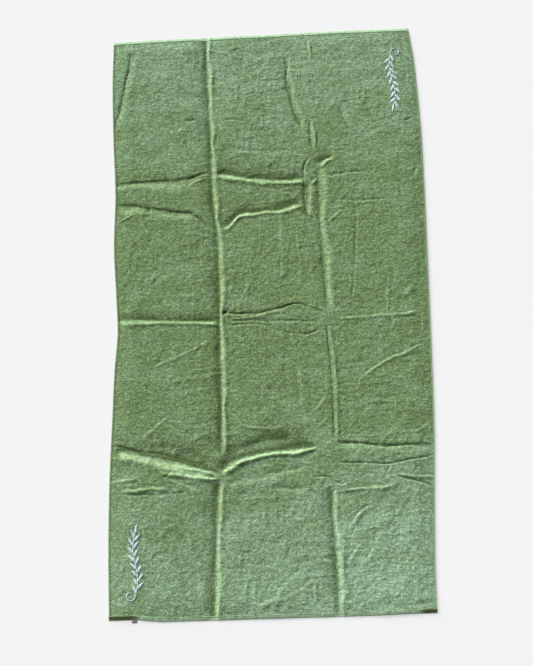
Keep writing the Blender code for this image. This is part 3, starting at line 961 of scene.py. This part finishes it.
# %% Spun and embroidery thread
def spun_thread(name, dark, pale, roughness, twist, sheen=0.2):
    """Twisted thread: light and dark bands about one twist apart, on object coordinates."""
    material, tree, shader = new_material(name, roughness, sheen, 0.4, 0.4)
    place = add_node(tree, "ShaderNodeTexCoord").outputs["Object"]
    scaled = add_node(tree, "ShaderNodeMapping", {
        "Vector": place, "Rotation": (0.4, 0.3, 0.7), "Scale": (1000 / twist,) * 3,
    })
    plies = add_node(
        tree, "ShaderNodeTexWave", {"Vector": scaled, "Scale": 1.0, "Distortion": 0.6}
    ).outputs["Fac"]
    uneven = add_node(tree, "ShaderNodeTexNoise", {"Vector": scaled, "Scale": 0.35})
    tone = weighted(tree, (plies, 0.4), (uneven, 0.6))
    colour = add_node(tree, "ShaderNodeValToRGB", {"Fac": tone}, ((0.25, dark), (0.75, pale)))
    finish_surface(tree, shader, colour.outputs[0], (plies, 0.12, 0.5))
    return material


# %% The weaves and threads of this towel
hem_weave = plain_weave("cotton_plain_weave_hem", "#86A282", "#A6C49F", "#C6DFBC", 1.4)
selvedge_weave = plain_weave("cotton_plain_weave_selvedge", "#6B8B56", "#84A673", "#A2C08F", 1.2)
sewing_thread = spun_thread("polyester_sewing_thread", "#86A97C", "#B4D4A6", 0.6, 0.7)
overlock_thread = spun_thread("polyester_overlock_thread", "#A6C697", "#E2F5D6", 0.7, 0.8)
embroidery_thread = spun_thread("trilobal_polyester_embroidery", "#B9D2DE", "#EEF7FA", 0.38, 0.9, 0.1)
label_tape = plain_weave("polyester_satin_tape", "#5F5A66", "#77727F", "#8F8A97", 0.5)
for pieces, material in ((sheets, terry), (hems, hem_weave), (strips, selvedge_weave)):
    for piece in pieces.values():
        piece.data.materials.append(material)
print(len(bpy.data.materials), "materials")

# %% [markdown]
# ## Lockstitch rows
# A hem is held by one row of lockstitch. On each side it shows as short arched dashes of
# thread that dive into the cloth between them. The tree makes one arch, and sets a copy
# on every stitch's place along the path, turned to follow it.

# %% The lockstitch tree
def lockstitch_tree():
    tree, given = new_tree("lockstitch", Pitch=0.003, Length=0.0025, Rise=0.0006, Radius=0.00032)
    half = add_node(tree, "ShaderNodeMath", {0: given["Length"], 1: 0.5}, operation="MULTIPLY")
    back = add_node(tree, "ShaderNodeMath", {0: half, 1: -1.0}, operation="MULTIPLY")
    start, end = (add_node(tree, "ShaderNodeCombineXYZ", {0: place}) for place in (back, half))
    peak = add_node(tree, "ShaderNodeCombineXYZ", {2: given["Rise"]})
    arch = add_node(tree, "GeometryNodeCurveQuadraticBezier", {
        "Resolution": 6, "Start": start, "Middle": peak, "End": end,
    })
    end_tree(tree, given, copies_along(tree, given, thread_round(tree, given, arch, sides=6)))
    return tree


lockstitch = lockstitch_tree()
print("lockstitch:", len(lockstitch.nodes), "nodes")

# %% Rows of stitches on both sides of each hem
SEAM_INSET = 1.8 * MM  # from the hem's inner side to its row of stitches
SEAM_POINTS = 160
THREAD_LIFT = 0.1 * MM  # how far a thread's middle stands above what it lies on
THREAD_LOWEST = 0.45 * MM  # so that a row on the underside clears the table


def seam_path(low, high, end, under):
    """A line along a hem on its upper side, or on its underside."""
    across = np.linspace(low, high, SEAM_POINTS)
    x, y, inner_x, _ = hem_frame(across, end)
    share = 1 - SEAM_INSET / HEM_DEPTH
    place_x = x * (1 - share) + inner_x * share
    place_y = y - end * (HEM_DEPTH - SEAM_INSET)
    upper_skin, lower_skin = hem_skin(across, end, share)
    z = np.maximum(lower_skin, THREAD_LOWEST) if under else upper_skin + THREAD_LIFT
    return np.column_stack([place_x, place_y, z])


seams = {}
for end_name, end_side in ENDS.items():
    for third, (span_low, span_high) in HEM_SPANS.items():
        rows = [seam_path(span_low, span_high, end_side, under) for under in (False, True)]
        seams[end_name, third] = sewn(
            f"lockstitch_{end_name}_{third}", rows, lockstitch, sewing_thread,
            Pitch=0.003, Length=0.0026, Rise=0.0007, Radius=0.00034,
        )

# %% [markdown]
# ## Overlocked sides
# A cut edge would fray, so each side is wrapped by a bulky overlock thread: a slanting
# ring of thread every 4 mm, round the edge and through the cloth, which gives the towel
# its toothed outline. The tree flattens a circle to the height of the edge, leans it
# along the side and repeats it on the path.

# %% The overlock tree
def overlock_tree():
    tree, given = new_tree(
        "overlock", Pitch=OVERLOCK_PITCH, Reach=0.0023, Height=0.0012, Lean=0.40, Radius=0.00055
    )
    circle = add_node(tree, "GeometryNodeCurvePrimitiveCircle", {"Resolution": 12, "Radius": 1.0})
    size = add_node(tree, "ShaderNodeCombineXYZ", {0: given["Height"], 1: given["Reach"], 2: 1.0})
    flattened = add_node(tree, "GeometryNodeTransform", {"Geometry": circle, "Scale": size})
    lean = add_node(tree, "ShaderNodeCombineXYZ", {1: math.pi / 2, 2: given["Lean"]})
    upright = add_node(tree, "GeometryNodeTransform", {"Geometry": flattened, "Rotation": lean})
    ring = thread_round(tree, given, upright, sides=5, capped=False)
    end_tree(tree, given, copies_along(tree, given, ring))
    return tree


overlock = overlock_tree()
print("overlock:", len(overlock.nodes), "nodes")

# %% Rings of thread down both sides
RING_INSET = 1.8 * MM  # from the cloth's edge to the middle of a ring
RING_LOWEST = 1.95 * MM  # for that middle, so that the ring clears the table
SIDE_POINTS = 500


def side_path(side):
    """A line inside one edge of the cloth, at the middle of its thickness."""
    along = np.linspace(-HALF_LENGTH + HEM_DEPTH, HALF_LENGTH - HEM_DEPTH, SIDE_POINTS)
    across = np.full(along.shape, side * (HALF_WIDTH - RING_INSET))
    x, y = lay(across, along)
    middle = strip_base(x, y) + STRIP_THICKNESS / 2
    return np.column_stack([x, y, np.maximum(middle, RING_LOWEST)])


edges = {
    name: sewn("overlock_rings_" + name, [side_path(side)], overlock, overlock_thread)
    for name, side in (("left", -1), ("right", 1))
}

# %% [markdown]
# ## The embroidered sprigs
# A sprig is satin stitch: lengths of shiny thread laid side by side across each leaf and
# across the stem, slanted, each a little arched. Every stitch is worked out as a short
# line across the outline of its leaf, and a tree rounds the lines into threads.

# %% The satin stitch tree
def satin_tree():
    tree, given = new_tree("satin_stitch", Rise=0.0008, Radius=0.00035)
    line = add_node(tree, "GeometryNodeMeshToCurve", {"Mesh": given["Path"]})
    fine = add_node(tree, "GeometryNodeResampleCurve", {"Curve": line, "Count": 6})
    # The rise is that of a parabola: 1 - (2 t - 1) squared, from one end to the other.
    place = add_node(tree, "GeometryNodeSplineParameter")
    centred = add_node(tree, "ShaderNodeMath", {0: place, 1: 2.0, 2: -1.0}, operation="MULTIPLY_ADD")
    square = add_node(tree, "ShaderNodeMath", {0: centred, 1: 2.0}, operation="POWER")
    swell = add_node(tree, "ShaderNodeMath", {0: 1.0, 1: square}, operation="SUBTRACT")
    up = add_node(tree, "ShaderNodeMath", {0: swell, 1: given["Rise"]}, operation="MULTIPLY")
    offset = add_node(tree, "ShaderNodeCombineXYZ", {2: up})
    arched = add_node(tree, "GeometryNodeSetPosition", {"Geometry": fine, "Offset": offset})
    end_tree(tree, given, thread_round(tree, given, arched, sides=6))
    return tree


satin = satin_tree()
print("satin stitch:", len(satin.nodes), "nodes")

# %% Where the stitches of a sprig lie, in the sprig's own plane
STEM_LENGTH = 0.146
STEM_SWAY = 0.0055
STEM_WIDTH = 0.0022
CURL_RADIUS = 0.0105
LEAF_COUNT = 16
LEAF_LENGTH = 0.0195
LEAF_WIDTH = 0.0068
LEAF_ANGLE = math.radians(38)
STITCH_STEP = 0.00085  # one thread beside the next
CURL_TURN = 1.5 * math.pi  # how far round the curl at the foot goes
CURL_CLOSING = 0.32  # the share of its radius that the curl loses on the way in
STEM_SLANT, LEAF_SLANT = 0.5, 0.7  # how far the stitches slant, in radians
FIRST_LEAF, LEAF_SPREAD = 0.07, 0.90  # shares of the stem: below the leaves, and with them


def stem_point(share):
    """A point of the swaying stem, from 0 at its foot to 1 at its tip."""
    return Vector((STEM_SWAY * math.sin(2 * math.pi * share), (share - 0.5) * STEM_LENGTH))


def stem_heading(share):
    ahead = stem_point(share + 0.01) - stem_point(share - 0.01)
    return math.atan2(ahead.y, ahead.x)


def heading_vector(angle):
    return Vector((math.cos(angle), math.sin(angle)))


def stem_line():
    """The curl at the sprig's foot and then the swaying stem."""
    heading = stem_heading(0.0)
    middle = stem_point(0.0) + heading_vector(heading + math.pi / 2) * CURL_RADIUS
    curl = []
    for i in range(30):
        turn = CURL_TURN * (1 - i / 30)
        radius = CURL_RADIUS * (1 - CURL_CLOSING * turn / CURL_TURN)
        curl.append(middle + radius * heading_vector(heading - math.pi / 2 - turn))
    return curl + [stem_point(i / 60) for i in range(61)]


# %% Stitches side by side along a line
def evenly(line, step):
    """Points a step apart along a line, with the direction of the line at each."""
    points = np.array([tuple(p) for p in line])
    reach = np.concatenate([[0], np.cumsum(np.linalg.norm(np.diff(points, axis=0), axis=1))])
    at = np.arange(0, reach[-1], step)
    even = np.column_stack([np.interp(at, reach, column) for column in points.T])
    ahead = np.gradient(even, axis=0)
    return even, ahead / np.linalg.norm(ahead, axis=1)[:, None]


def stitches_across(points, ahead, half_widths, slant):
    """One stitch at each point: a pair of ends across the line, slanted along it."""
    side = np.column_stack([-ahead[:, 1], ahead[:, 0]])
    lean = side * math.cos(slant) + ahead * math.sin(slant)
    half = np.asarray(half_widths)[:, None]
    return list(zip(points - lean * half, points + lean * half))


def sprig_stitches():
    """All stitches of one sprig: the stem, leaves to each side, and one at the tip."""
    points, ahead = evenly(stem_line(), STITCH_STEP)
    taper = smooth_step(np.arange(len(points)) / 12) * 0.5 + 0.5
    stitches = stitches_across(points, ahead, STEM_WIDTH / 2 * taper, STEM_SLANT)
    for i in range(LEAF_COUNT):
        share = FIRST_LEAF + LEAF_SPREAD * i / (LEAF_COUNT - 1)
        side = 0 if i == LEAF_COUNT - 1 else (-1) ** i
        along = heading_vector(stem_heading(share) + side * LEAF_ANGLE)
        root = stem_point(share)
        points, ahead = evenly([root, root + along * LEAF_LENGTH], STITCH_STEP)
        t = np.arange(len(points)) / len(points)
        half = LEAF_WIDTH / 2 * np.sin(np.pi * np.clip(t, 0.02, 1) ** 0.8) + 0.0002
        stitches += stitches_across(points, ahead, half, LEAF_SLANT if i % 2 else -LEAF_SLANT)
    return stitches


# %% The two sprigs on the cloth
SPRIG_LIFT = 0.15 * MM  # how far the ends of a stitch stand above the cloth


def make_sprig(name, node, turn):
    """Satin stitches on the pile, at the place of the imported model's sprig."""
    low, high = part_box(node)
    flat = sprig_stitches()
    ends = np.array([[tuple(a), tuple(b)] for a, b in flat]).reshape(-1, 2)
    ends = ends @ np.array([[math.cos(turn), math.sin(turn)], [-math.sin(turn), math.cos(turn)]])
    middle = np.array([(low.x + high.x) / 2, (low.y + high.y) / 2])
    ends += middle - (ends.min(0) + ends.max(0)) / 2
    height = top_of(ends[:, 0], ends[:, 1])[0]
    points = np.column_stack([ends, height + SPRIG_LIFT]).reshape(-1, 2, 3)
    return sewn(name, list(points), satin, embroidery_thread, Rise=0.0009, Radius=0.00037)


sprigs = {
    "right": make_sprig("satin_sprig_upper", "embroidery_upper", math.pi),
    "left": make_sprig("satin_sprig_lower", "embroidery_lower", 0.0),
}

# %% [markdown]
# ## The care label
# A loop of narrow satin tape is caught in the lower hem, blank here. It is a thin band
# bent back on itself, made as a loft of its own outline and curled slightly.

# %% The label
TAPE_THICKNESS = 0.4 * MM
TAPE_CURL = 0.25 * MM
LABEL_RINGS = 13


def make_label():
    low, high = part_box("care_label")
    middle = (low.z + high.z) / 2
    bend = (high.z - low.z) / 2
    tip = low.y + bend
    root = high.y - 0.2 * MM
    line = [(root + (tip - root) * i / 8, high.z) for i in range(9)]
    line += [(tip + bend * math.cos(a), middle + bend * math.sin(a))
             for a in np.linspace(math.pi / 2, 3 * math.pi / 2, 11)[1:-1]]
    line += [(tip + (root - tip) * i / 8, low.z) for i in range(9)]
    inside = [(y, z + (TAPE_THICKNESS if z < middle else -TAPE_THICKNESS)) for y, z in line]
    inside = [(max(y, tip + TAPE_THICKNESS * 0.2), z) for y, z in inside]
    outline = line + inside[::-1]
    rings, across, along = [], [], []
    for share in np.linspace(0, 1, LABEL_RINGS):
        x = low.x + (high.x - low.x) * share
        curl = TAPE_CURL * math.sin(math.pi * share)
        rings.append([(x, y, max(z + curl * (root - y) / (root - low.y), 0.0)) for y, z in outline])
        across.append([x] * len(outline))
        along.append([-HALF_LENGTH + (y - root) for y, z in outline])
    return loft("satin_care_label", np.array(rings), np.array(across), np.array(along))


label = make_label()
label.data.materials.append(label_tape)
print(label.name, len(label.data.polygons), "faces")

# %% The stitches that hold it
TACK_INSET = 2.6 * MM  # from the hem's outer edge
tack_low, tack_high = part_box("label_tack")
tack_x = np.linspace(tack_low.x, tack_high.x, 24)
tack_across = 2 * tack_x - lay(tack_x, np.full(tack_x.shape, -HALF_LENGTH))[0]
tack_edge_y = hem_frame(tack_across, -1)[1]
tack_height = hem_skin(tack_across, -1, TACK_INSET / HEM_DEPTH)[0]
tack_line = np.column_stack([tack_x, tack_edge_y + TACK_INSET, tack_height + THREAD_LIFT])
tack = sewn(
    "label_stitches", [tack_line], lockstitch, sewing_thread,
    Pitch=0.002, Length=0.0017, Rise=0.0006, Radius=0.0003,
)

# %% [markdown]
# ## What moves with what
# The side thirds fold over the middle one about the imported model's two hinges. Here the
# middle third's cloth, hems and stitches are attached to the middle body, the edges and
# sprigs to their side's body, the label to its own and its stitches to the left one. The
# side thirds' cloth, hems and stitches are only baked in place; nothing bends at a fold.

# %% Cloth of the side thirds, baked in place
SIDES = {"left": -1, "right": 1}


def fold_with(piece):
    """Bakes a piece's placement into its mesh; it follows neither third."""
    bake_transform(piece)


# %% What each piece stands for, and what it moves with
for third, piece in sheets.items():
    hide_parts("terry_" + third)
for (end_name, third), piece in hems.items():
    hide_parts(f"hem_{end_name}_{third}")
for (end_name, third), piece in seams.items():
    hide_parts(f"hem_seam_{end_name}_{third}")
for third in SHEETS:
    crossing = [sheets[third]]
    crossing += [group[end_name, third] for group in (hems, seams) for end_name in ENDS]
    for piece in crossing:
        if third == "centre":
            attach(piece, "centre")
        else:
            fold_with(piece)
for third in SIDES:
    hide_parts("selvedge_" + third)
    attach(strips[third], third)
    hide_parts("overlock_" + third)
    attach(edges[third], third)
    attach(sprigs[third], third)
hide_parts("embroidery_upper")
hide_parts("embroidery_lower")
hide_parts("care_label")
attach(label, "label")
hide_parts("label_tack")
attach(tack, "left")

# %% The pieces that go with each sheet, listed
for third, piece in sheets.items():
    going = [hems["top", third], hems["bottom", third], seams["top", third], seams["bottom", third]]
    if third in SIDES:
        going += [strips[third], edges[third], sprigs[third]]

# %% [markdown]
# ## Table, light and camera
# The table is a white light table, as used for catalogue pictures: part of its white
# comes from inside it, so the shadow round the cloth stays faint. One wide sun from the
# upper left shapes the creases, with a softer sky for the rest.

# %% The table
TABLE_REACH = 40.0  # so far that no view sees its edge
TABLE_GLOW = 0.545  # strength of the light from inside it


def make_table():
    mesh = bpy.data.meshes.new("table")
    bm = bmesh.new()
    bmesh.ops.create_grid(bm, x_segments=1, y_segments=1, size=TABLE_REACH)
    bm.to_mesh(mesh)
    bm.free()
    table = new_piece("table", mesh)
    material, tree, shader = new_material("matt_white_table", 0.9, specular=0.1)
    place = add_node(tree, "ShaderNodeTexCoord").outputs["Object"]
    worn = add_node(tree, "ShaderNodeTexNoise", {"Vector": place, "Scale": 1.0})
    tone = add_node(tree, "ShaderNodeValToRGB", {"Fac": worn}, ((0.3, "#9D9D9D"), (0.7, "#9F9F9F")))
    tree.links.new(tone.outputs[0], shader.inputs["Base Color"])
    shader.inputs["Emission Color"].default_value = linear("#FFFFFF")
    shader.inputs["Emission Strength"].default_value = TABLE_GLOW
    mesh.materials.append(material)
    table.location.z = -0.2 * MM


make_table()

# %% The light: a sun as wide as a window, and the room's own pale light
SUN_FROM = (-0.62, 0.78, 0.44)  # upper left, and low enough to rake across the creases

sun_data = bpy.data.lights.new("window", "SUN")
sun_data.energy = 6.4
sun_data.angle = math.radians(34)
sun = bpy.data.objects.new("window", sun_data)
sun.rotation_euler = Vector(SUN_FROM).to_track_quat("Z", "Y").to_euler()
bpy.context.scene.collection.objects.link(sun)

world = bpy.data.worlds.new("room")
world.use_nodes = True
sky = world.node_tree.nodes["Background"].inputs
sky["Color"].default_value = (0.95, 0.98, 1.0, 1.0)
sky["Strength"].default_value = 0.21
bpy.context.scene.world = world
bpy.context.scene.view_settings.view_transform = "Standard"
print("sun", sun_data.energy, "sky", sky["Strength"].default_value)

# %% The camera, high above and a little to one side
camera_data = bpy.data.cameras.new("camera")
camera_data.lens = 97.3
camera_data.sensor_width = 36.0
camera = bpy.data.objects.new("camera", camera_data)
camera.location = (0.2176, -1.4101, 3.8294)
camera.rotation_euler = [math.radians(angle) for angle in (19.36, 3.75, -1.09)]
bpy.context.scene.collection.objects.link(camera)
bpy.context.scene.camera = camera
print("camera", round(camera.location.length, 2), "metres away")
